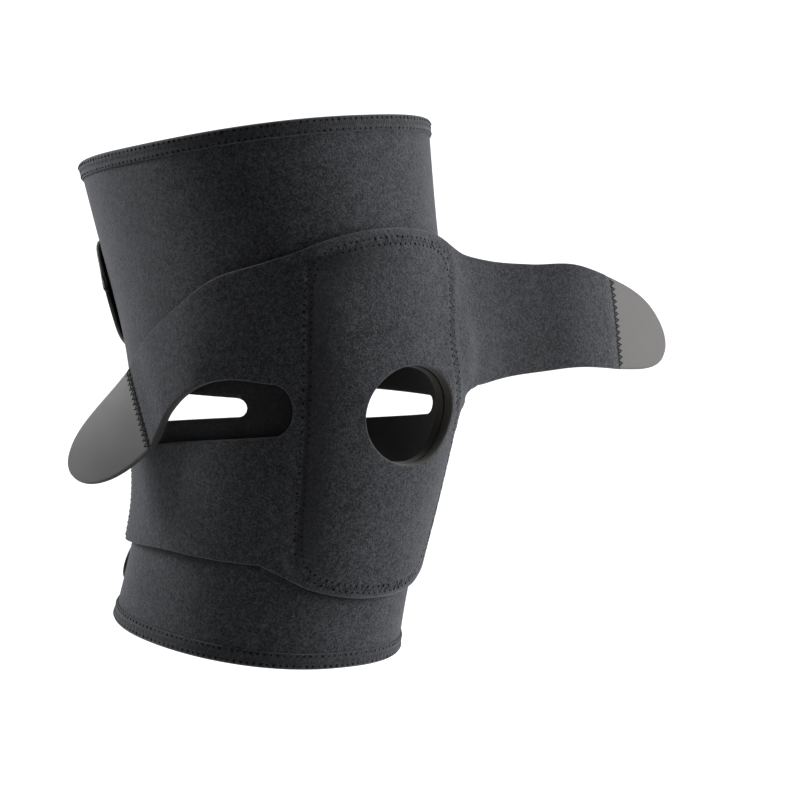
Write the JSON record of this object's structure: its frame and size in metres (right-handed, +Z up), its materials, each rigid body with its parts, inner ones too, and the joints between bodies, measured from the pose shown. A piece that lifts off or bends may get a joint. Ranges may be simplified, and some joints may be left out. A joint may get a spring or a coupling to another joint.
{
  "type": "knee support",
  "caption": "Wrap-around knee support of foam cloth with an open kneecap hole, taped edges and a strapped front overlay with hook tabs, its upper straps peeled open.",
  "frame": {"origin": "centre of the wearer's knee, on the axis of the leg that the support is wrapped round", "axes": "+Z up towards the thigh, -Y towards the front of the knee, +X towards the raised strap's side"},
  "size_m": [0.2673, 0.1928, 0.2412],
  "materials": {
    "loop_cloth": "charcoal brushed loop face on foam rubber, matt and faintly heathered",
    "edge_tape": "black folded stretch tape, fine ribbed, matt",
    "hook_tape": "mid grey smooth back, dark hooks on the inner face"
  },
  "bodies": {
    "root": {"base_wrap": "loop_cloth", "top_binding": "edge_tape", "bottom_binding": "edge_tape", "front_overlay": "loop_cloth", "upper_left_tab": "hook_tape", "upper_right_tab": "hook_tape", "lower_left_tab": "hook_tape", "lower_right_tab": "hook_tape", "thigh_closure_tab": "hook_tape", "calf_closure_tab": "hook_tape"}
  },
  "joints": []
}
